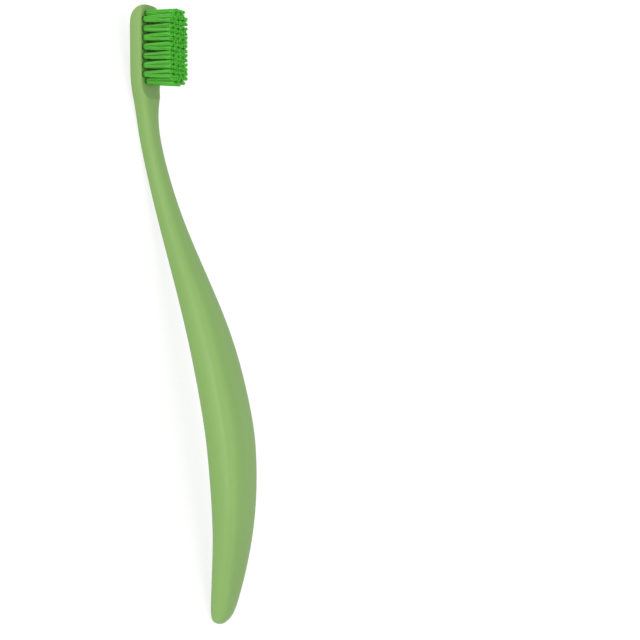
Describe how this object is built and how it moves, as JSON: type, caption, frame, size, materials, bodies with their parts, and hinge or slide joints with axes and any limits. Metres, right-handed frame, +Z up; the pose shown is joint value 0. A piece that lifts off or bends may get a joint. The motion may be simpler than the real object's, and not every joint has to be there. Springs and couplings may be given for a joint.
{
  "type": "manual toothbrush",
  "caption": "Manual toothbrush with a one-piece curved plastic handle, a slim neck and a small head set with rows of springy bristle tufts held by brass anchor plates.",
  "frame": {"origin": "on the surface that the brush lies on, below the middle of its box", "axes": "+X along the brush from its head to the end of its grip, +Y across it, +Z up, the way the bristles point"},
  "size_m": [0.1916, 0.0194, 0.0203],
  "materials": {
    "handle_plastic": "matt, finely textured moulded plastic",
    "bristle_nylon": "drawn nylon filament, cut and end-rounded",
    "anchor_brass": "bright rolled strip"
  },
  "bodies": {
    "handle": {"handle": "handle_plastic", "anchor_plates": "anchor_brass", "tuft_roots": "bristle_nylon"},
    "bristle_row_1": {"tuft_row_1_column_1": "bristle_nylon", "tuft_row_1_column_2": "bristle_nylon", "tuft_row_1_column_3": "bristle_nylon"},
    "bristle_row_2": {"tuft_row_2_column_1": "bristle_nylon", "tuft_row_2_column_2": "bristle_nylon", "tuft_row_2_column_3": "bristle_nylon", "tuft_row_2_column_4": "bristle_nylon"},
    "bristle_row_3": {"tuft_row_3_column_1": "bristle_nylon", "tuft_row_3_column_2": "bristle_nylon", "tuft_row_3_column_3": "bristle_nylon", "tuft_row_3_column_4": "bristle_nylon"},
    "bristle_row_4": {"tuft_row_4_column_1": "bristle_nylon", "tuft_row_4_column_2": "bristle_nylon", "tuft_row_4_column_3": "bristle_nylon", "tuft_row_4_column_4": "bristle_nylon"},
    "bristle_row_5": {"tuft_row_5_column_1": "bristle_nylon", "tuft_row_5_column_2": "bristle_nylon", "tuft_row_5_column_3": "bristle_nylon", "tuft_row_5_column_4": "bristle_nylon"},
    "bristle_row_6": {"tuft_row_6_column_1": "bristle_nylon", "tuft_row_6_column_2": "bristle_nylon", "tuft_row_6_column_3": "bristle_nylon", "tuft_row_6_column_4": "bristle_nylon"},
    "bristle_row_7": {"tuft_row_7_column_1": "bristle_nylon", "tuft_row_7_column_2": "bristle_nylon", "tuft_row_7_column_3": "bristle_nylon", "tuft_row_7_column_4": "bristle_nylon"},
    "bristle_row_8": {"tuft_row_8_column_1": "bristle_nylon", "tuft_row_8_column_2": "bristle_nylon", "tuft_row_8_column_3": "bristle_nylon", "tuft_row_8_column_4": "bristle_nylon"},
    "bristle_row_9": {"tuft_row_9_column_1": "bristle_nylon", "tuft_row_9_column_2": "bristle_nylon", "tuft_row_9_column_3": "bristle_nylon"}
  },
  "joints": [
    {"name": "row_1_lean", "type": "hinge", "parent": "handle", "child": "bristle_row_1", "pos_m": [-0.09279, 0, 0.00915], "axis": [0, 1, 0], "range_deg": [-15, 15], "stiffness_Nm_per_rad": 0.012},
    {"name": "row_2_lean", "type": "hinge", "parent": "handle", "child": "bristle_row_2", "pos_m": [-0.09092, 0, 0.00883], "axis": [0, 1, 0], "range_deg": [-15, 15], "stiffness_Nm_per_rad": 0.016},
    {"name": "row_3_lean", "type": "hinge", "parent": "handle", "child": "bristle_row_3", "pos_m": [-0.08826, 0, 0.00839], "axis": [0, 1, 0], "range_deg": [-15, 15], "stiffness_Nm_per_rad": 0.016},
    {"name": "row_4_lean", "type": "hinge", "parent": "handle", "child": "bristle_row_4", "pos_m": [-0.08559, 0, 0.00794], "axis": [0, 1, 0], "range_deg": [-15, 15], "stiffness_Nm_per_rad": 0.016},
    {"name": "row_5_lean", "type": "hinge", "parent": "handle", "child": "bristle_row_5", "pos_m": [-0.08293, 0, 0.00749], "axis": [0, 1, 0], "range_deg": [-15, 15], "stiffness_Nm_per_rad": 0.016},
    {"name": "row_6_lean", "type": "hinge", "parent": "handle", "child": "bristle_row_6", "pos_m": [-0.08027, 0, 0.00705], "axis": [0, 1, 0], "range_deg": [-15, 15], "stiffness_Nm_per_rad": 0.016},
    {"name": "row_7_lean", "type": "hinge", "parent": "handle", "child": "bristle_row_7", "pos_m": [-0.0776, 0, 0.0066], "axis": [0, 1, 0], "range_deg": [-15, 15], "stiffness_Nm_per_rad": 0.016},
    {"name": "row_8_lean", "type": "hinge", "parent": "handle", "child": "bristle_row_8", "pos_m": [-0.07494, 0, 0.00615], "axis": [0, 1, 0], "range_deg": [-15, 15], "stiffness_Nm_per_rad": 0.016},
    {"name": "row_9_lean", "type": "hinge", "parent": "handle", "child": "bristle_row_9", "pos_m": [-0.07307, 0, 0.00584], "axis": [0, 1, 0], "range_deg": [-15, 15], "stiffness_Nm_per_rad": 0.012}
  ],
  "couplings": [
    {"joint": "row_1_lean", "follows": "row_5_lean", "ratio": 1},
    {"joint": "row_2_lean", "follows": "row_5_lean", "ratio": 1},
    {"joint": "row_3_lean", "follows": "row_5_lean", "ratio": 1},
    {"joint": "row_4_lean", "follows": "row_5_lean", "ratio": 1},
    {"joint": "row_6_lean", "follows": "row_5_lean", "ratio": 1},
    {"joint": "row_7_lean", "follows": "row_5_lean", "ratio": 1},
    {"joint": "row_8_lean", "follows": "row_5_lean", "ratio": 1},
    {"joint": "row_9_lean", "follows": "row_5_lean", "ratio": 1}
  ]
}
